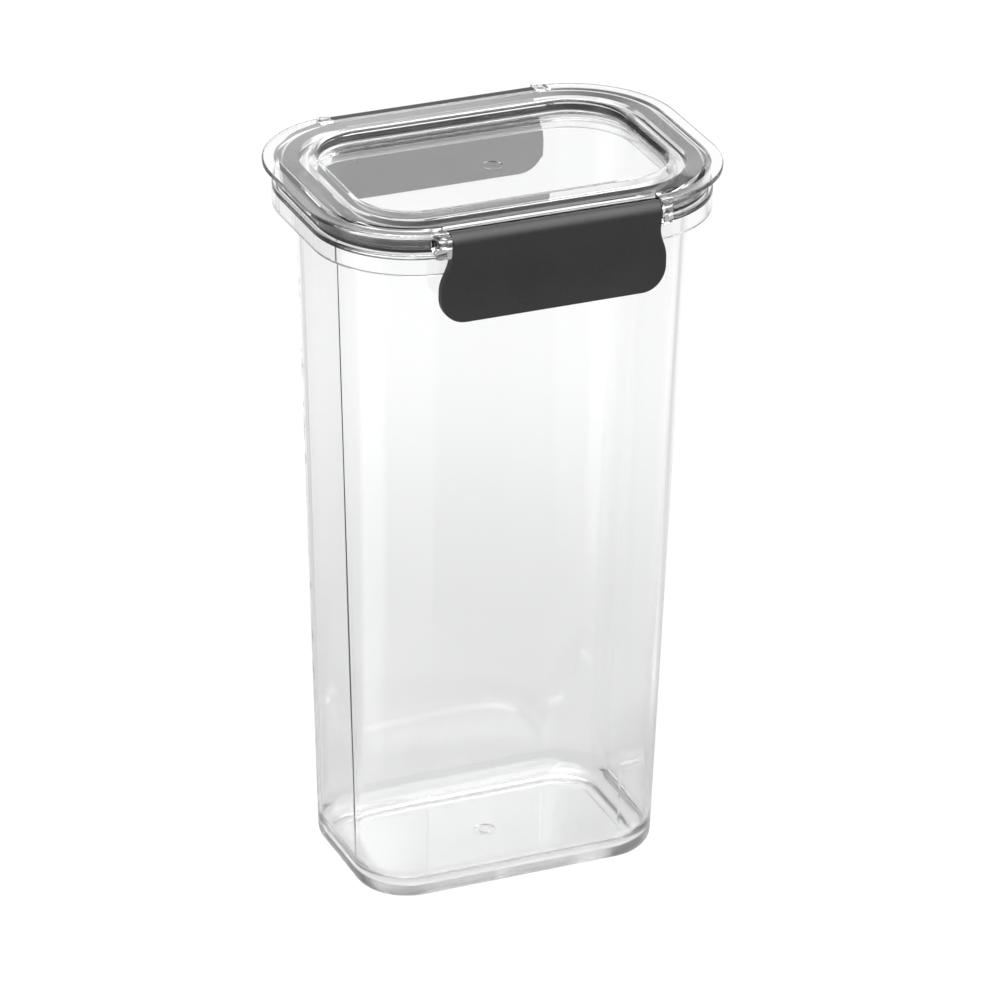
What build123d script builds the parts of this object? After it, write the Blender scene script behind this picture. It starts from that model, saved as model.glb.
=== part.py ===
from build123d import *
import math
import os

# Sizes in millimetres. The canister stands on z = 0, its long side along X, its latches facing -Y and +Y.
# Every outline is the edge of the lid pulled in by a constant distance, called an inset below.

# Overall
TOTAL_HEIGHT = 240.0
LID_LENGTH = 136.4
LID_WIDTH = 98.8
LID_CORNER = 35.0

# Canister body
BRIM_INSET = 3.0
BRIM_THICKNESS = 2.0
LIP_HEIGHT = 7.2
LIP_THICKNESS = 1.8
LIP_BELOW_TOP = 16.2
WALL_INSET = 10.1
BASE_INSET = 17.5
WALL_THICKNESS = 2.0
FLOOR_THICKNESS = 2.6
BASE_ROUND = 4.5
INNER_ROUND = 8.0
MOUTH_ROUND = 0.7
LIP_ROUND = 0.6
FOOT_WIDTH = 9.0
FOOT_RECESS = 0.6
FLOOR_GATE_DIAMETER = 7.4
FLOOR_GATE_CORE = 4.0
GATE_DEPTH = 0.5

# Lid
RING_THICKNESS = 2.8
EDGE_FALL = 1.2
STEP_INSET = 3.7
STEP_RUN = 1.3
STEP_RISE = 0.4
CROWN_RUN = 10.0
EDGE_ROUND = 0.5
SKIRT_INSET = 4.0
SKIRT_THICKNESS = 2.2
SKIRT_GAP = 1.7
CHANNEL_INNER_INSET = 11.3
CHANNEL_DEPTH = 5.0
PLUG_CLEARANCE = 0.6
PLUG_THICKNESS = 2.0
PLUG_REACH = 3.0
RECESS_INSET = 17.0
RECESS_DEPTH = 3.8
RECESS_ROUND = 1.0
PANEL_THICKNESS = 2.0
LID_GATE_DIAMETER = 6.4

# Gasket
GASKET_GAP = 0.8
GASKET_HEIGHT = 4.8
GASKET_SEAT = 0.02
SEAL_INSET = 7.5
SEAL_THICKNESS = 1.6
GASKET_ROUND = 0.5

# Latches and hinge ears
PIVOT_INSET = 1.2
PIVOT_BELOW_TOP = 4.8
ROLL_RADIUS = 3.2
LATCH_WIDTH = 69.4
LATCH_FLARE = 2.6
FLARE_START = 9.5
FLARE_END = 21.0
LATCH_LENGTH = 31.4
LATCH_LEAN = 12.0
LATCH_THICKNESS = 2.3
TAIL_RADIUS = 60.0
TAIL_CLEARANCE = 0.4
LATCH_CORNER = 8.2
LATCH_EDGE_ROUND = 0.7
HOOK_WIDTH = 54.0
HOOK_REACH = 1.5
HOOK_GAP = 0.1
HOOK_TIP = 1.8
HOOK_ROOT = 3.0
TRUNNION_RADIUS = 1.5
TRUNNION_LENGTH = 3.0
PIN_CLEARANCE = 0.05
END_GAP = 0.3
EAR_OUT = 2.4
EAR_RADIUS = 2.6
EAR_FALL = 0.7
EAR_DROP = 4.7
EAR_TIP = 1.4
EAR_RUN = 2.6
EAR_RISE = 2.4
NOTCH_GAP = 0.7

# Heights that follow from the sizes above
RING_BOTTOM = TOTAL_HEIGHT - RING_THICKNESS
EDGE_TOP = TOTAL_HEIGHT - EDGE_FALL
LIP_BOTTOM = TOTAL_HEIGHT - LIP_BELOW_TOP
LIP_TOP = LIP_BOTTOM + LIP_HEIGHT
SKIRT_BOTTOM = LIP_TOP + SKIRT_GAP
PANEL_TOP = TOTAL_HEIGHT - RECESS_DEPTH
PANEL_BOTTOM = PANEL_TOP - PANEL_THICKNESS
PIVOT_Z = TOTAL_HEIGHT - PIVOT_BELOW_TOP
LATCH_BOTTOM = TOTAL_HEIGHT - LATCH_LENGTH
EDGE_Y = LID_WIDTH / 2
PIVOT_Y = EDGE_Y - PIVOT_INSET
PLUG_INSET = WALL_INSET + WALL_THICKNESS + PLUG_CLEARANCE
EAR_INNER = LATCH_WIDTH / 2 + END_GAP


def outline(inset):
    """Rounded rectangle a constant distance inside the edge of the lid."""
    return RectangleRounded(LID_LENGTH - 2 * inset, LID_WIDTH - 2 * inset, LID_CORNER - inset)


def slab(inset, bottom, top):
    """Solid between two heights with one outline."""
    return extrude(Plane.XY.offset(bottom) * outline(inset), amount=top - bottom)


def ring(outer, inner, bottom, top):
    """Closed wall between two insets and two heights."""
    return slab(outer, bottom, top) - slab(inner, bottom, top)


def tapered(low_inset, high_inset, bottom, top):
    """Solid whose outline opens evenly from one inset to another."""
    low = Plane.XY.offset(bottom) * outline(low_inset)
    high = Plane.XY.offset(top) * outline(high_inset)
    return loft([low, high], ruled=True)


def edges_at(solid, height):
    """Edges that lie in one horizontal plane."""
    return solid.edges().filter_by_position(Axis.Z, height - 0.01, height + 0.01)


def wall_inset(height):
    """Inset of the drafted outer wall at a height."""
    return BASE_INSET + (WALL_INSET - BASE_INSET) * height / LIP_TOP


def make_body():
    """Drafted canister with floor, foot, brim and down-turned lip."""
    outer = tapered(BASE_INSET, WALL_INSET, 0, LIP_TOP)
    outer = fillet(edges_at(outer, 0), BASE_ROUND)
    brim = slab(BRIM_INSET, LIP_TOP - BRIM_THICKNESS, LIP_TOP)
    brim += ring(BRIM_INSET, BRIM_INSET + LIP_THICKNESS, LIP_BOTTOM, LIP_TOP)
    brim = fillet(edges_at(brim, LIP_TOP) + edges_at(brim, LIP_BOTTOM), LIP_ROUND)
    low = wall_inset(FLOOR_THICKNESS) + WALL_THICKNESS
    inner = tapered(low, WALL_INSET + WALL_THICKNESS, FLOOR_THICKNESS, LIP_TOP)
    inner = fillet(edges_at(inner, FLOOR_THICKNESS), INNER_ROUND)
    body = outer + brim - inner
    mouth = edges_at(body, LIP_TOP).filter_by(lambda e: abs(e.center().Y) < EDGE_Y - WALL_INSET)
    body = fillet(mouth, MOUTH_ROUND)
    body -= slab(BASE_INSET + FOOT_WIDTH, 0, FOOT_RECESS)
    gate = Cylinder(FLOOR_GATE_DIAMETER / 2, GATE_DEPTH, align=(Align.CENTER, Align.CENTER, Align.MIN))
    gate -= Cylinder(FLOOR_GATE_CORE / 2, GATE_DEPTH, align=(Align.CENTER, Align.CENTER, Align.MIN))
    return body - Pos(0, 0, FLOOR_THICKNESS - GATE_DEPTH) * gate


def make_ear():
    """Hinge ear at the +X end of the front latch: a plate with a round foot and a sloping back."""
    tip_y = EDGE_Y + EAR_OUT
    root_y = EDGE_Y - SKIRT_INSET - SKIRT_THICKNESS / 2
    foot_y = tip_y - EAR_RADIUS
    foot_z = PIVOT_Z - EAR_DROP
    side = make_face(
        Polyline(
            (-root_y, EDGE_TOP),
            (-tip_y, EDGE_TOP - EAR_FALL),
            (-tip_y, foot_z + EAR_RADIUS),
            (-foot_y, foot_z),
            (-root_y, foot_z + EAR_RISE),
            close=True,
        )
    )
    side += Pos(-foot_y, foot_z + EAR_RADIUS) * Circle(EAR_RADIUS)
    length = EAR_TIP + EAR_RUN
    plate = extrude(Plane.YZ.offset(EAR_INNER) * side, amount=length)
    plan = make_face(
        Polyline(
            (EAR_INNER, -root_y),
            (EAR_INNER, -tip_y),
            (EAR_INNER + EAR_TIP, -tip_y),
            (EAR_INNER + length, -EDGE_Y),
            (EAR_INNER + length, -root_y),
            close=True,
        )
    )
    return plate & extrude(plan, amount=2 * TOTAL_HEIGHT)


def make_notch():
    """Space for the front hinge roll, cut into the flange and the skirt."""
    wall_y = PIVOT_Y - ROLL_RADIUS - NOTCH_GAP
    height = 2 * (TOTAL_HEIGHT - LIP_TOP)
    space = Box(2 * EAR_INNER, EDGE_Y, height, align=(Align.CENTER, Align.MAX, Align.MIN))
    return Pos(0, -wall_y, LIP_TOP) * space


def make_lid():
    """Clear lid with flange, crowned ring, skirt, channel, plug, recessed panel and four hinge ears."""
    crown_inset = STEP_INSET + STEP_RUN
    crown_low = EDGE_TOP + STEP_RISE
    lid = slab(0, RING_BOTTOM, EDGE_TOP)
    lid = fillet(edges_at(lid, RING_BOTTOM) + edges_at(lid, EDGE_TOP), EDGE_ROUND)
    lid += tapered(STEP_INSET, crown_inset, EDGE_TOP, crown_low)
    lid += tapered(crown_inset, crown_inset + CROWN_RUN, crown_low, TOTAL_HEIGHT)
    plug_inner = PLUG_INSET + PLUG_THICKNESS
    channel_bottom = RING_BOTTOM - CHANNEL_DEPTH
    lid += ring(SKIRT_INSET, SKIRT_INSET + SKIRT_THICKNESS, SKIRT_BOTTOM, RING_BOTTOM)
    lid += ring(CHANNEL_INNER_INSET, plug_inner, channel_bottom, RING_BOTTOM)
    lid += ring(PLUG_INSET, plug_inner, LIP_TOP - PLUG_REACH, channel_bottom)
    lid += slab(plug_inner, PANEL_BOTTOM, RING_BOTTOM)
    recess = slab(RECESS_INSET, PANEL_TOP, TOTAL_HEIGHT + RECESS_DEPTH)
    rim = new_edges(lid, recess, combined=lid - recess)
    rim_flat = abs(RECESS_INSET - crown_inset - CROWN_RUN)
    lid = fillet(rim, min(RECESS_ROUND, rim_flat / 2))
    lid = fillet(edges_at(lid, PANEL_TOP), RECESS_ROUND)
    lid -= Pos(0, 0, PANEL_TOP) * Cylinder(LID_GATE_DIAMETER / 2, GATE_DEPTH)
    ear = make_ear()
    notch = make_notch()
    bore = Cylinder(TRUNNION_RADIUS + PIN_CLEARANCE, 2 * (EAR_INNER + TRUNNION_LENGTH), rotation=(0, 90, 0))
    bore = Pos(0, -PIVOT_Y, PIVOT_Z) * bore
    for turn in (0, 180):
        lid -= Rot(0, 0, turn) * notch
        lid += Rot(0, 0, turn) * ear
        lid += Rot(0, 0, turn) * mirror(ear, about=Plane.YZ)
        lid -= Rot(0, 0, turn) * bore
    return lid


def make_gasket():
    """Flexible ring in the lid channel with a sealing lip that rests on the brim."""
    outer = SKIRT_INSET + SKIRT_THICKNESS + GASKET_GAP
    inner = CHANNEL_INNER_INSET - GASKET_SEAT
    top = RING_BOTTOM - GASKET_SEAT
    low = top - GASKET_HEIGHT
    gasket = ring(outer, inner, low, top)
    gasket = fillet(edges_at(gasket, low), GASKET_ROUND)
    return gasket + ring(SEAL_INSET, SEAL_INSET + SEAL_THICKNESS, LIP_TOP + GASKET_SEAT, low)


def on_side(center, radius, lean):
    """Point at a radius on the outboard side of a center, where the outward normal leans down."""
    lean = math.radians(lean)
    return center + Vector(-math.cos(lean), -math.sin(lean)) * radius


def plate_curve(depth):
    """Section line of the latch plate at a depth behind its outer face: straight, then bowed."""
    pivot = Vector(-PIVOT_Y, PIVOT_Z)
    waist_y = -EDGE_Y + BRIM_INSET - TAIL_CLEARANCE - LATCH_THICKNESS
    roll = on_side(pivot, ROLL_RADIUS, LATCH_LEAN)
    lean = math.radians(LATCH_LEAN)
    straight = (waist_y - roll.X - TAIL_RADIUS * (1 - math.cos(lean))) / math.sin(lean)
    knee = roll + Vector(math.sin(lean), -math.cos(lean)) * straight
    center = on_side(knee, TAIL_RADIUS, LATCH_LEAN)
    angles = [LATCH_LEAN, 0, -LATCH_LEAN]
    bow = [center - (on_side(center, TAIL_RADIUS + depth, angle) - center) for angle in angles]
    return on_side(pivot, ROLL_RADIUS - depth, LATCH_LEAN), bow


def latch_outline():
    """Front view of the latch: straight between the ears, then flared, with round lower corners."""
    half = LATCH_WIDTH / 2
    widest = half + LATCH_FLARE
    flare_top = TOTAL_HEIGHT - FLARE_START
    flare_low = TOTAL_HEIGHT - FLARE_END
    corner = LATCH_CORNER
    side = [
        Line((0, TOTAL_HEIGHT), (half, TOTAL_HEIGHT)),
        Line((half, TOTAL_HEIGHT), (half, flare_top)),
        Spline((half, flare_top), (widest, flare_low), tangents=((0, -1), (0, -1))),
        Line((widest, flare_low), (widest, LATCH_BOTTOM + corner)),
        RadiusArc((widest, LATCH_BOTTOM + corner), (widest - corner, LATCH_BOTTOM), corner),
        Line((widest - corner, LATCH_BOTTOM), (0, LATCH_BOTTOM)),
        Line((0, LATCH_BOTTOM), (0, TOTAL_HEIGHT)),
    ]
    front = make_face(Curve() + side)
    return front + mirror(front, about=Plane.YZ)


def make_latch():
    """Front latch: hinge roll, leaning bowed plate, hook rib and a trunnion at each end."""
    top, bow = plate_curve(0)
    inner_top, inner_bow = plate_curve(LATCH_THICKNESS)
    section = make_face(
        Curve()
        + [
            Line(top, bow[0]),
            ThreePointArc(*bow),
            Line(bow[2], inner_bow[2]),
            ThreePointArc(*reversed(inner_bow)),
            Line(inner_bow[0], inner_top),
            Line(inner_top, top),
        ]
    )
    plate = extrude(Plane.YZ * section, amount=LATCH_WIDTH, both=True)
    plate &= extrude(Plane.XZ * latch_outline(), amount=2 * EDGE_Y)
    flat = plate.faces().filter_by(GeomType.PLANE).sort_by(Axis.Y)[0]
    curved = plate.faces().filter_by(GeomType.CYLINDER)
    tail = curved.filter_by(lambda f: abs(f.radius - TAIL_RADIUS) < 0.01)
    rim = (flat.edges() + tail[0].edges()).filter_by(
        lambda e: e.bounding_box().size.Z > 0.01 or e.center().Z < LATCH_BOTTOM + LATCH_THICKNESS
    )
    plate = fillet(rim, LATCH_EDGE_ROUND)
    roll = Cylinder(ROLL_RADIUS, LATCH_WIDTH, rotation=(0, 90, 0))
    roll = fillet(roll.edges().filter_by(GeomType.CIRCLE), LATCH_EDGE_ROUND)
    roll += Cylinder(TRUNNION_RADIUS, LATCH_WIDTH + 2 * TRUNNION_LENGTH, rotation=(0, 90, 0))
    hook_top = LIP_BOTTOM - HOOK_GAP
    tip_y = -EDGE_Y + BRIM_INSET + HOOK_REACH
    root_y = inner_bow[1].X - LATCH_THICKNESS / 2
    hook = make_face(
        Polyline(
            (root_y, hook_top),
            (tip_y, hook_top),
            (tip_y, hook_top - HOOK_TIP),
            (root_y, hook_top - HOOK_ROOT),
            close=True,
        )
    )
    hook = extrude(Plane.YZ * hook, amount=HOOK_WIDTH / 2, both=True)
    return plate + hook + Pos(0, -PIVOT_Y, PIVOT_Z) * roll


os.makedirs("parts", exist_ok=True)
front_latch = make_latch()
pieces = {
    "canister_body": make_body(),
    "lid": make_lid(),
    "lid_gasket": make_gasket(),
    "front_latch": front_latch,
    "rear_latch": Rot(0, 0, 180) * front_latch,
}
for node, piece in pieces.items():
    export_step(piece, f"parts/{node}.step")
    print(node, len(piece.solids()), round(piece.volume), piece.bounding_box().size)
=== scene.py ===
import logging
import math
from dataclasses import dataclass
from enum import Enum
from typing import Any

import bpy
from mathutils import Matrix, Vector


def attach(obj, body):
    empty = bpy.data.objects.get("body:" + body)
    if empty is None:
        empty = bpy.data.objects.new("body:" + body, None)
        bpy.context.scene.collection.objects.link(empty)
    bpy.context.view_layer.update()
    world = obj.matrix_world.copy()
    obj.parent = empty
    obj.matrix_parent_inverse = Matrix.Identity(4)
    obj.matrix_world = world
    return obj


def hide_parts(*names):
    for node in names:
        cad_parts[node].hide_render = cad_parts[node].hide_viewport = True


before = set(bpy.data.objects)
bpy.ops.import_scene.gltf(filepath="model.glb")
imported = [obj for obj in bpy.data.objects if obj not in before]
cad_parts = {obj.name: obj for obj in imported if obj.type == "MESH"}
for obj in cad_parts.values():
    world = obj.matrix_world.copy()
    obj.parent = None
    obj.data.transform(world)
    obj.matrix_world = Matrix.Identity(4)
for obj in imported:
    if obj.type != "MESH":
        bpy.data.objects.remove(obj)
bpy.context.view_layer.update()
MM = 0.001
LOG = logging.getLogger("canister")

Colour = tuple[float, float, float, float]
Direction = tuple[float, float, float]
Span = tuple[float, float]

# Places of the two ends among a Mix node's inputs, where names repeat.
MIX_NUMBER_ENDS = (2, 3)
MIX_COLOUR_ENDS = (6, 7)

# The sector straight behind the canister, and a fade that takes in every sector.
BEHIND: Direction = (0.397, 0.918, 0.0)
BEHIND_FADE: Span = (0.72, 0.93)
ALL_ROUND: Span = (-2.0, -1.5)


class Node(Enum):
    """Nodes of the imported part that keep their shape."""

    CANISTER = "canister_body"
    LID = "lid"
    FRONT_LATCH = "front_latch"
    REAR_LATCH = "rear_latch"


class Body(Enum):
    """Bodies that carry the scene's own pieces."""

    LID = "lid"


class Slot(Enum):
    """Material slots of the scene's own pieces."""

    GASKET = "gasket_rubber"


class Graph:
    """A shader or geometry node tree under construction."""

    def __init__(self, tree: bpy.types.NodeTree) -> None:
        """Start from an emptied tree.

        Args:
            tree: The node tree to fill.
        """
        self.tree = tree
        tree.nodes.clear()

    def add(self, kind: str, values: dict[str, Any] | None = None, **settings: Any) -> bpy.types.Node:
        """Add one node.

        Args:
            kind: Blender's type name of the node.
            values: Input values by socket name; a socket given as a value is linked.
            settings: Properties of the node itself.

        Returns:
            The new node.
        """
        node = self.tree.nodes.new(kind)
        for name, value in settings.items():
            setattr(node, name, value)
        for name, value in (values or {}).items():
            self.feed(node.inputs[name], value)
        return node

    def feed(self, socket: bpy.types.NodeSocket, value: Any) -> None:
        """Link a socket to another one, or set its value.

        Args:
            socket: The input socket.
            value: An output socket to link from, or a plain value.
        """
        if isinstance(value, bpy.types.NodeSocket):
            self.tree.links.new(value, socket)
        else:
            socket.default_value = value

    def math(self, operation: str, first: Any, second: Any = 0.0) -> bpy.types.NodeSocket:
        """Combine two numbers.

        Args:
            operation: Name of the Math node's operation.
            first: First number or socket.
            second: Second number or socket.

        Returns:
            The result's socket.
        """
        node = self.add("ShaderNodeMath", operation=operation)
        self.feed(node.inputs[0], first)
        self.feed(node.inputs[1], second)
        return node.outputs[0]

    def blend(self, share: bpy.types.NodeSocket, first: Any, second: Any) -> bpy.types.NodeSocket:
        """Go from one number to another.

        Args:
            share: Share of the second number.
            first: First number or socket.
            second: Second number or socket.

        Returns:
            The result's socket.
        """
        node = self.add("ShaderNodeMix", {"Factor": share}, data_type="FLOAT")
        for place, value in zip(MIX_NUMBER_ENDS, (first, second)):
            self.feed(node.inputs[place], value)
        return node.outputs[0]

    def ramp(
        self, value: Any, source: tuple[Any, Any], target: tuple[Any, Any] = (0.0, 1.0), **settings: Any
    ) -> bpy.types.NodeSocket:
        """Map one span of numbers to another.

        Args:
            value: The number or socket to map.
            source: Start and end of its span.
            target: What the start and the end become.
            settings: Properties of the mapping node.

        Returns:
            The result's socket.
        """
        names = ("Value", "From Min", "From Max", "To Min", "To Max")
        values = dict(zip(names, (value, *source, *target)))
        return self.add("ShaderNodeMapRange", values, **settings).outputs[0]


class GroupLibrary:
    """Shader effects that several finishes share, each built once."""

    def __init__(self) -> None:
        """Start with no group built."""
        self.built: dict[str, bpy.types.NodeTree] = {}

    def start(self, name: str, inputs: dict[str, str], outputs: dict[str, str]) -> Graph:
        """Open a new shader group.

        Args:
            name: The group's name.
            inputs: Socket type by input name.
            outputs: Socket type by output name.

        Returns:
            The empty graph of the group.
        """
        tree = bpy.data.node_groups.new(name, "ShaderNodeTree")
        for label, kind in inputs.items():
            tree.interface.new_socket(label, in_out="INPUT", socket_type=kind)
        for label, kind in outputs.items():
            tree.interface.new_socket(label, in_out="OUTPUT", socket_type=kind)
        self.built[name] = tree
        return Graph(tree)

    def mould_flow(self) -> bpy.types.NodeTree:
        """Slow waves of a moulded wall, drawn out along the height, with a faint haze and a frosted foot.

        Returns:
            A group with Height and Roughness outputs.
        """
        if "mould_flow" in self.built:
            return self.built["mould_flow"]
        number = "NodeSocketFloat"
        graph = self.start(
            "mould_flow",
            {
                "Vector": "NodeSocketVector",
                "Wave Scale": number,
                "Polish": number,
                "Haze": number,
                "Frost": number,
                "Frost Height": number,
            },
            {"Height": number, "Roughness": number},
        )
        given = graph.add("NodeGroupInput").outputs
        drawn = graph.add("ShaderNodeMapping", {"Vector": given["Vector"], "Scale": (1.0, 1.0, 0.3)})
        waves = graph.add(
            "ShaderNodeTexNoise",
            {"Vector": drawn.outputs[0], "Scale": given["Wave Scale"], "Detail": 1.5, "Roughness": 0.4},
        )
        cloud = graph.add("ShaderNodeTexNoise", {"Vector": given["Vector"], "Scale": 45.0, "Detail": 3.0})
        haze = graph.ramp(cloud.outputs[0], (0.35, 0.75), (given["Polish"], given["Haze"]))
        level = graph.add("ShaderNodeSeparateXYZ", {"Vector": given["Vector"]}).outputs["Z"]
        foot = (given["Frost Height"], 0.0)
        frost = graph.ramp(level, foot, (0.0, given["Frost"]), interpolation_type="SMOOTHSTEP")
        rough = graph.math("MAXIMUM", haze, frost)
        graph.add("NodeGroupOutput", {"Height": waves.outputs[0], "Roughness": rough})
        return graph.tree

    def fine_grain(self) -> bpy.types.NodeTree:
        """Fine matt grain of a dark moulding, with slow clouding and rubbed spots.

        Returns:
            A group with Height, Roughness and Shade outputs.
        """
        if "fine_grain" in self.built:
            return self.built["fine_grain"]
        number = "NodeSocketFloat"
        graph = self.start(
            "fine_grain",
            {"Vector": "NodeSocketVector", "Grain Scale": number, "Low": number, "High": number},
            {"Height": number, "Roughness": number, "Shade": number},
        )
        given = graph.add("NodeGroupInput").outputs
        grain = graph.add(
            "ShaderNodeTexNoise",
            {"Vector": given["Vector"], "Scale": given["Grain Scale"], "Detail": 2.0, "Roughness": 0.6},
        )
        cells = graph.add(
            "ShaderNodeTexVoronoi",
            {"Vector": given["Vector"], "Scale": given["Grain Scale"]},
            feature="SMOOTH_F1",
        )
        cloud = graph.add("ShaderNodeTexNoise", {"Vector": given["Vector"], "Scale": 60.0, "Detail": 4.0})
        height = graph.math("MULTIPLY", grain.outputs[0], cells.outputs["Distance"])
        rough = graph.ramp(cloud.outputs[0], (0.3, 0.7), (given["Low"], given["High"]))
        cloud_share, grain_share = 0.7, 0.6
        clouding = graph.math("MULTIPLY", cloud.outputs[0], cloud_share)
        speckle = graph.math("MULTIPLY", height, grain_share)
        shade = graph.math("ADD", clouding, speckle)
        graph.add("NodeGroupOutput", {"Height": height, "Roughness": rough, "Shade": shade})
        return graph.tree


@dataclass(frozen=True)
class ClearMoulding:
    """Polished clear plastic with slow mould waves and a little grey along long paths."""

    name: str
    tint: Colour = (0.985, 0.987, 0.99, 1.0)
    refraction: float = 1.54
    polish: float = 0.0
    haze: float = 0.02
    wave_scale: float = 26.0
    wave_depth: float = 0.03
    wave_height: float = 0.001
    grey: Colour = (0.5, 0.5, 0.5, 1.0)
    density: float = 10.0
    frost: float = 0.0
    frost_height: float = 0.003
    shadow: Colour = (0.93, 0.93, 0.93, 1.0)

    def material(self, groups: GroupLibrary) -> bpy.types.Material:
        """Build the finish.

        Args:
            groups: The shared shader effects.

        Returns:
            A material with clear walls that let lamp light through.
        """
        made = bpy.data.materials.new(self.name)
        made.use_nodes = True
        graph = Graph(made.node_tree)
        place = graph.add("ShaderNodeTexCoord").outputs["Object"]
        flow = graph.add("ShaderNodeGroup", node_tree=groups.mould_flow())
        values = {
            "Vector": place,
            "Wave Scale": self.wave_scale,
            "Polish": self.polish,
            "Haze": self.haze,
            "Frost": self.frost,
            "Frost Height": self.frost_height,
        }
        for name, value in values.items():
            graph.feed(flow.inputs[name], value)
        bump = graph.add(
            "ShaderNodeBump",
            {"Strength": self.wave_depth, "Distance": self.wave_height, "Height": flow.outputs["Height"]},
        )
        wall = graph.add(
            "ShaderNodeBsdfPrincipled",
            {
                "Base Color": self.tint,
                "Roughness": flow.outputs["Roughness"],
                "IOR": self.refraction,
                "Transmission Weight": 1.0,
                "Normal": bump.outputs[0],
            },
        )
        through = graph.add("ShaderNodeBsdfTransparent", {"Color": self.shadow})
        path = graph.add("ShaderNodeLightPath")
        mix = graph.add("ShaderNodeMixShader")
        graph.feed(mix.inputs[0], path.outputs["Is Shadow Ray"])
        graph.feed(mix.inputs[1], wall.outputs[0])
        graph.feed(mix.inputs[2], through.outputs[0])
        inside = graph.add("ShaderNodeVolumeAbsorption", {"Color": self.grey, "Density": self.density})
        graph.add("ShaderNodeOutputMaterial", {"Surface": mix.outputs[0], "Volume": inside.outputs[0]})
        return made


@dataclass(frozen=True)
class DarkMoulding:
    """Dark grey moulding or rubber with fine matt grain."""

    name: str
    low_colour: Colour
    high_colour: Colour
    low_rough: float
    high_rough: float
    grain_scale: float
    grain_depth: float
    grain_height: float = 0.0002

    def material(self, groups: GroupLibrary) -> bpy.types.Material:
        """Build the finish.

        Args:
            groups: The shared shader effects.

        Returns:
            A dark material with grain in colour, roughness and relief.
        """
        made = bpy.data.materials.new(self.name)
        made.use_nodes = True
        graph = Graph(made.node_tree)
        place = graph.add("ShaderNodeTexCoord").outputs["Object"]
        grain = graph.add("ShaderNodeGroup", node_tree=groups.fine_grain())
        values = {
            "Vector": place,
            "Grain Scale": self.grain_scale,
            "Low": self.low_rough,
            "High": self.high_rough,
        }
        for name, value in values.items():
            graph.feed(grain.inputs[name], value)
        colour = graph.add("ShaderNodeMix", {"Factor": grain.outputs["Shade"]}, data_type="RGBA")
        for end, value in zip(MIX_COLOUR_ENDS, (self.low_colour, self.high_colour)):
            graph.feed(colour.inputs[end], value)
        bump = graph.add(
            "ShaderNodeBump",
            {"Strength": self.grain_depth, "Distance": self.grain_height, "Height": grain.outputs["Height"]},
        )
        skin = graph.add(
            "ShaderNodeBsdfPrincipled",
            {
                "Base Color": colour.outputs[2],
                "Roughness": grain.outputs["Roughness"],
                "Normal": bump.outputs[0],
            },
        )
        graph.add("ShaderNodeOutputMaterial", {"Surface": skin.outputs[0]})
        return made


def dress(node: Node, material: bpy.types.Material) -> bpy.types.Object:
    """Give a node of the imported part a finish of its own.

    Args:
        node: The node.
        material: Its finish.

    Returns:
        The node's object.
    """
    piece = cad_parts[node.value]
    piece.data.materials.clear()
    piece.data.materials.append(material)
    return piece


@dataclass
class Canister:
    """The drafted clear canister with its brim and lip."""

    finish: ClearMoulding

    def build(self, groups: GroupLibrary) -> list[bpy.types.Object]:
        """Dress the canister.

        Args:
            groups: The shared shader effects.

        Returns:
            The finished pieces.
        """
        return [dress(Node.CANISTER, self.finish.material(groups))]


@dataclass
class Lid:
    """The clear lid with its flange, skirt, recess and hinge ears."""

    finish: ClearMoulding

    def build(self, groups: GroupLibrary) -> list[bpy.types.Object]:
        """Dress the lid.

        Args:
            groups: The shared shader effects.

        Returns:
            The finished pieces.
        """
        return [dress(Node.LID, self.finish.material(groups))]


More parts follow.
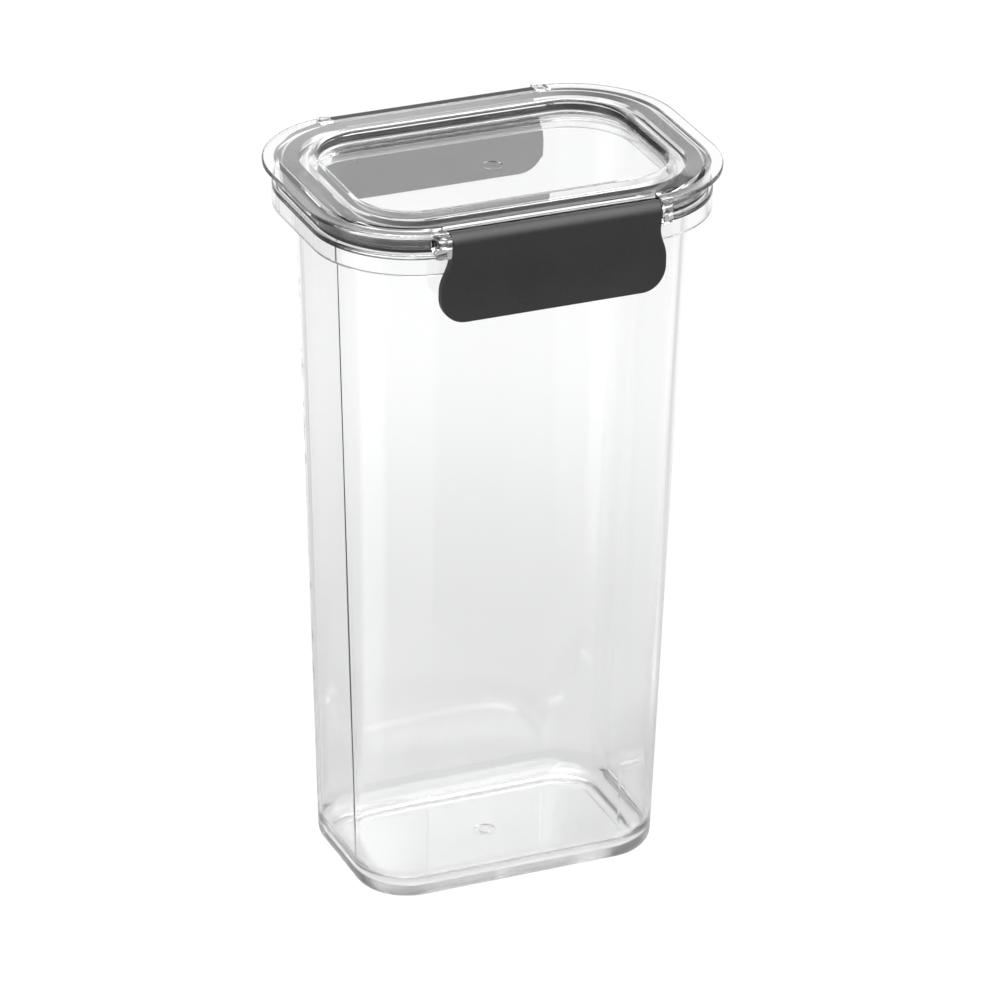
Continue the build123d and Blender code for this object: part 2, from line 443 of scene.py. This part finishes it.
@dataclass
class Gasket:
    """The dark sealing ring under the lid, one ribbed section swept round the lid's channel.

    Section points are millimetres outboard of the ring's outer face and below its top.
    """

    finish: DarkMoulding
    path_length: float = 0.1224
    path_width: float = 0.0848
    path_corner: float = 0.028
    corner_steps: int = 28
    top: float = 0.23718
    crease_angle: float = 40.0
    section: tuple[Span, ...] = (
        (-4.28, 0.0),
        (0.0, 0.0),
        (0.0, 0.85),
        (0.3, 1.15),
        (0.3, 1.35),
        (0.0, 1.65),
        (0.0, 2.65),
        (0.3, 2.95),
        (0.3, 3.15),
        (0.0, 3.45),
        (0.0, 4.4),
        (0.3, 4.7),
        (2.2, 4.72),
        (2.5, 4.95),
        (2.5, 5.75),
        (2.2, 6.07),
        (1.9, 6.15),
        (-1.6, 6.15),
        (-1.9, 6.0),
        (-2.1, 5.6),
        (-2.1, 4.8),
        (-3.83, 4.8),
        (-4.15, 4.67),
        (-4.28, 4.35),
    )

    def draw_section(self) -> bpy.types.Object:
        """Draw the ring's section as a closed flat curve.

        Returns:
            The curve's object.
        """
        curve = bpy.data.curves.new("gasket_section", "CURVE")
        curve.dimensions = "2D"
        curve.fill_mode = "NONE"
        line = curve.splines.new("POLY")
        line.points.add(len(self.section) - 1)
        for point, (outward, down) in zip(line.points, self.section):
            point.co = (outward * MM, down * MM, 0.0, 1.0)
        line.use_cyclic_u = True
        drawn = bpy.data.objects.new("gasket_section", curve)
        bpy.context.scene.collection.objects.link(drawn)
        return drawn

    def sweep_tree(self) -> bpy.types.NodeTree:
        """Build the nodes that sweep a section round a rounded rectangle.

        Returns:
            A geometry tree with the path's sizes and the finish as inputs.
        """
        tree = bpy.data.node_groups.new("channel_sweep", "GeometryNodeTree")
        graph = Graph(tree)
        number = "NodeSocketFloat"
        sizes = {"Length": number, "Width": number, "Corner": number, "Steps": "NodeSocketInt", "Top": number}
        tree.interface.new_socket("Section", in_out="INPUT", socket_type="NodeSocketGeometry")
        for label, kind in sizes.items():
            tree.interface.new_socket(label, in_out="INPUT", socket_type=kind)
        tree.interface.new_socket("Finish", in_out="INPUT", socket_type="NodeSocketMaterial")
        tree.interface.new_socket("Ring", in_out="OUTPUT", socket_type="NodeSocketGeometry")
        given = graph.add("NodeGroupInput").outputs
        frame_line = graph.add(
            "GeometryNodeCurvePrimitiveQuadrilateral", {"Width": given["Length"], "Height": given["Width"]}
        )
        path = graph.add(
            "GeometryNodeFilletCurve",
            {"Curve": frame_line.outputs[0], "Radius": given["Corner"], "Count": given["Steps"]},
            mode="POLY",
        )
        level = graph.add("ShaderNodeCombineXYZ", {"Z": given["Top"]})
        raised = graph.add(
            "GeometryNodeTransform", {"Geometry": path.outputs[0], "Translation": level.outputs[0]}
        )
        upright = graph.add("GeometryNodeSetCurveNormal", {"Curve": raised.outputs[0]}, mode="Z_UP")
        swept = graph.add(
            "GeometryNodeCurveToMesh", {"Curve": upright.outputs[0], "Profile Curve": given["Section"]}
        )
        real = graph.add("GeometryNodeRealizeInstances", {"Geometry": swept.outputs[0]})
        done = graph.add(
            "GeometryNodeSetMaterial", {"Geometry": real.outputs[0], "Material": given["Finish"]}
        )
        graph.add("NodeGroupOutput", {"Ring": done.outputs[0]})
        return tree

    def sweep(self, material: bpy.types.Material) -> bpy.types.Mesh:
        """Sweep the section round the channel.

        Args:
            material: The ring's finish.

        Returns:
            A plain mesh in place.
        """
        drawn = self.draw_section()
        tree = self.sweep_tree()
        values = {
            "Length": self.path_length,
            "Width": self.path_width,
            "Corner": self.path_corner,
            "Steps": self.corner_steps,
            "Top": self.top,
            "Finish": material,
        }
        modifier = drawn.modifiers.new("sweep", "NODES")
        modifier.node_group = tree
        for item in tree.interface.items_tree:
            if item.name in values:
                modifier[item.identifier] = values[item.name]
        graph = bpy.context.evaluated_depsgraph_get()
        mesh = bpy.data.meshes.new_from_object(drawn.evaluated_get(graph), depsgraph=graph)
        drawn.modifiers.remove(modifier)
        bpy.data.objects.remove(drawn)
        return mesh

    def build(self, groups: GroupLibrary) -> list[bpy.types.Object]:
        """Make the ring and seat it in the lid.

        Args:
            groups: The shared shader effects.

        Returns:
            The finished pieces.
        """
        mesh = self.sweep(self.finish.material(groups))
        mesh.shade_smooth()
        mesh.set_sharp_from_angle(angle=math.radians(self.crease_angle))
        ring = bpy.data.objects.new("sealing_ring", mesh)
        bpy.context.scene.collection.objects.link(ring)
        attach(ring, Body.LID.value)
        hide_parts("lid_gasket")
        return [ring]


@dataclass
class Latches:
    """The two dark hinged latches."""

    finish: DarkMoulding

    def build(self, groups: GroupLibrary) -> list[bpy.types.Object]:
        """Dress both latches.

        Args:
            groups: The shared shader effects.

        Returns:
            The finished pieces.
        """
        material = self.finish.material(groups)
        return [dress(node, material) for node in (Node.FRONT_LATCH, Node.REAR_LATCH)]


@dataclass(frozen=True)
class Lobe:
    """A brighter or darker sector of the surroundings.

    Fields give the sector's direction, the cosines between which it fades in, its brightness, and the
    distances between which it fades in. In the world a lobe is light; in the floor's glow it is painted light
    or painted shade.
    """

    direction: Direction
    fade: Span
    level: float
    reach: Span = (-1.0, 0.0)


def sector_level(
    graph: Graph, place: bpy.types.NodeSocket, base: float, lobes: tuple[Lobe, ...]
) -> bpy.types.NodeSocket:
    """Brightness of the surroundings at a place.

    Args:
        graph: The shader tree.
        place: A point, or a direction.
        base: Brightness away from every lobe.
        lobes: The sectors laid over it in order.

    Returns:
        A socket with the brightness.
    """
    ray = graph.add("ShaderNodeVectorMath", {"Vector": place}, operation="NORMALIZE").outputs[0]
    distance = graph.add("ShaderNodeVectorMath", {"Vector": place}, operation="LENGTH").outputs["Value"]
    level: Any = base
    for lobe in lobes:
        toward = graph.add("ShaderNodeVectorMath", operation="DOT_PRODUCT")
        graph.feed(toward.inputs[0], ray)
        graph.feed(toward.inputs[1], tuple(Vector(lobe.direction).normalized()))
        shares = [
            graph.ramp(value, span, interpolation_type="SMOOTHSTEP")
            for value, span in ((toward.outputs["Value"], lobe.fade), (distance, lobe.reach))
        ]
        level = graph.blend(graph.math("MULTIPLY", *shares), level, lobe.level)
    return level


@dataclass
class Studio:
    """Pale floor, soft light and the camera at the photograph's angle."""

    floor_half: float = 3.0
    floor_drop: float = 0.0004
    floor_colour: Colour = (0.3, 0.3, 0.3, 1.0)
    floor_glow: float = 0.7
    # Painted glow of the floor in reflections and through walls, away from every lobe.
    painted_glow_side: float = 0.34
    # Painted light and painted shade laid over that glow, sector by sector.
    painted_glow_lobes: tuple[Lobe, ...] = (
        # Painted shade: the glow behind is darker near the canister and lighter further out.
        Lobe(BEHIND, BEHIND_FADE, 0.47),
        Lobe(BEHIND, BEHIND_FADE, 0.75, (0.12, 0.4)),
        Lobe(BEHIND, BEHIND_FADE, 0.64, (0.43, 0.54)),
        Lobe((-0.5, -0.866, 0.0), (0.6, 0.85), 0.62, (0.1, 0.16)),
        Lobe((0.9, -0.44, 0.0), (0.6, 0.85), 0.62, (0.1, 0.16)),
        # Painted light: brighter sectors to the left and front left, a softbox seen in reflections and
        # through walls.
        Lobe((-0.99, -0.14, 0.0), (0.9, 0.985), 1.3),
        Lobe((-0.67, -0.6, 0.0), (0.88, 0.99), 0.72, (0.26, 0.14)),
        Lobe((-0.397, -0.918, 0.0), (-0.2, 0.3), 0.7, (0.16, 0.1)),
        # Painted shade: a darker patch far out in front, seen in reflections.
        Lobe((0.4, -0.917, 0.0), (0.945, 0.985), 0.3, (0.14, 0.24)),
        # Painted shade under the canister's base, seen through it, darker than most sectors around.
        Lobe(BEHIND, ALL_ROUND, 0.38, (0.075, 0.06)),
    )
    ambient: float = 0.35
    sky: float = 0.6
    sky_lobes: tuple[Lobe, ...] = (
        Lobe((0.1, 0.93, 0.35), (0.94, 0.965), 2.4),
        Lobe((0.366, 0.846, 0.389), (0.9972, 0.9986), 1.35),
        Lobe((0.357, -0.35, 0.87), (0.6, 0.78), 5.0),
    )
    key_strength: float = 2.8
    key_spread: float = 55.0
    key_from: Direction = (-0.3, -0.18, 0.94)
    azimuth: float = -23.3794
    elevation: float = 26.0845
    distance: float = 1.9751
    roll: float = 0.7875
    aim_height: float = 0.12
    slide_right: float = 0.00374
    slide_up: float = 0.00106
    lens: float = 224.64
    sensor: float = 36.0
    clip_end: float = 50.0
    clear_bounces: int = 32
    glossy_bounces: int = 16

    def build_floor(self) -> bpy.types.Object:
        """Lay the pale floor, white where it is seen, with softer sectors of painted glow in reflections and
        through walls: painted light and painted shade of the surroundings.

        Returns:
            The floor's object.
        """
        half, low = self.floor_half, -self.floor_drop
        mesh = bpy.data.meshes.new("floor")
        corners = [(-half, -half, low), (half, -half, low), (half, half, low), (-half, half, low)]
        mesh.from_pydata(corners, [], [(0, 1, 2, 3)])
        made = bpy.data.materials.new("pale_floor")
        made.use_nodes = True
        graph = Graph(made.node_tree)
        place = graph.add("ShaderNodeTexCoord").outputs["Object"]
        # Painted glow by sector, seen only in reflections and through walls.
        level = sector_level(graph, place, self.painted_glow_side, self.painted_glow_lobes)
        path = graph.add("ShaderNodeLightPath").outputs
        through = graph.math("MAXIMUM", path["Is Glossy Ray"], path["Is Transmission Ray"])
        level = graph.math("MULTIPLY", level, through)
        level = graph.math("ADD", level, graph.math("MULTIPLY", path["Is Camera Ray"], self.floor_glow))
        matt = graph.add("ShaderNodeBsdfDiffuse", {"Color": self.floor_colour})
        glow = graph.add("ShaderNodeEmission", {"Strength": level})
        both = graph.add("ShaderNodeAddShader")
        graph.feed(both.inputs[0], matt.outputs[0])
        graph.feed(both.inputs[1], glow.outputs[0])
        graph.add("ShaderNodeOutputMaterial", {"Surface": both.outputs[0]})
        mesh.materials.append(made)
        floor = bpy.data.objects.new("floor", mesh)
        bpy.context.scene.collection.objects.link(floor)
        return floor

    def build_world(self) -> None:
        """Surround the scene with soft light, white to the camera and brighter in a few reflected sectors."""
        world = bpy.data.worlds.new("studio")
        bpy.context.scene.world = world
        world.use_nodes = True
        graph = Graph(world.node_tree)
        ray = graph.add("ShaderNodeTexCoord").outputs["Generated"]
        path = graph.add("ShaderNodeLightPath").outputs
        shown = sector_level(graph, ray, self.sky, self.sky_lobes)
        soft = graph.math("MAXIMUM", path["Is Glossy Ray"], path["Is Transmission Ray"])
        strength = graph.blend(soft, self.ambient, shown)
        white = graph.math("MAXIMUM", strength, path["Is Camera Ray"])
        sky = graph.add("ShaderNodeBackground", {"Strength": white})
        graph.add("ShaderNodeOutputWorld", {"Surface": sky.outputs[0]})

    def build_lamps(self) -> None:
        """Light the scene softly and evenly from above."""
        lamp = bpy.data.lights.new("overhead", "SUN")
        lamp.energy = self.key_strength
        lamp.angle = math.radians(self.key_spread)
        bank = bpy.data.objects.new("overhead", lamp)
        bank.rotation_euler = Vector(self.key_from).to_track_quat("Z", "Y").to_euler()
        bpy.context.scene.collection.objects.link(bank)

    def build_camera(self) -> bpy.types.Object:
        """Place the camera.

        Returns:
            The camera's object.
        """
        turn, rise, tilt = (math.radians(a) for a in (self.azimuth, self.elevation, self.roll))
        back = Vector((math.sin(turn) * math.cos(rise), -math.cos(turn) * math.cos(rise), math.sin(rise)))
        right = Vector((math.cos(turn), math.sin(turn), 0))
        up = back.cross(right)
        place = Vector((0, 0, self.aim_height)) + back * self.distance
        place += right * self.slide_right + up * self.slide_up
        across = right * math.cos(tilt) + up * math.sin(tilt)
        above = up * math.cos(tilt) - right * math.sin(tilt)
        data = bpy.data.cameras.new("camera")
        data.sensor_width = self.sensor
        data.lens = self.lens
        data.clip_end = self.clip_end
        camera = bpy.data.objects.new("camera", data)
        camera.matrix_world = Matrix.Translation(place) @ Matrix((across, above, back)).transposed().to_4x4()
        bpy.context.scene.collection.objects.link(camera)
        bpy.context.scene.camera = camera
        return camera

    def build(self) -> None:
        """Set up floor, light, camera and view."""
        self.build_floor()
        self.build_world()
        self.build_lamps()
        self.build_camera()
        scene = bpy.context.scene
        scene.view_settings.view_transform = "Standard"
        scene.cycles.max_bounces = self.clear_bounces
        scene.cycles.transmission_bounces = self.clear_bounces
        scene.cycles.glossy_bounces = self.glossy_bounces
        scene.cycles.transparent_max_bounces = self.clear_bounces


def main() -> None:
    """Build the studio and each sub-assembly in order."""
    logging.basicConfig(level=logging.INFO)
    groups = GroupLibrary()
    Studio().build()
    latch_finish = DarkMoulding(
        name="latch_grain",
        low_colour=(0.007, 0.007, 0.008, 1.0),
        high_colour=(0.032, 0.032, 0.033, 1.0),
        low_rough=0.42,
        high_rough=0.54,
        grain_scale=1500.0,
        grain_depth=0.35,
    )
    gasket_finish = DarkMoulding(
        name="gasket_rubber",
        low_colour=(0.012, 0.012, 0.012, 1.0),
        high_colour=(0.02, 0.02, 0.02, 1.0),
        low_rough=0.35,
        high_rough=0.45,
        grain_scale=1800.0,
        grain_depth=0.03,
    )
    parts = [
        Canister(ClearMoulding("clear_body", frost=0.2)),
        Lid(ClearMoulding("clear_lid")),
        Gasket(gasket_finish),
        Latches(latch_finish),
    ]
    for part in parts:
        for piece in part.build(groups):
            LOG.info("built %s", piece.name)


if __name__ == "__main__":
    main()
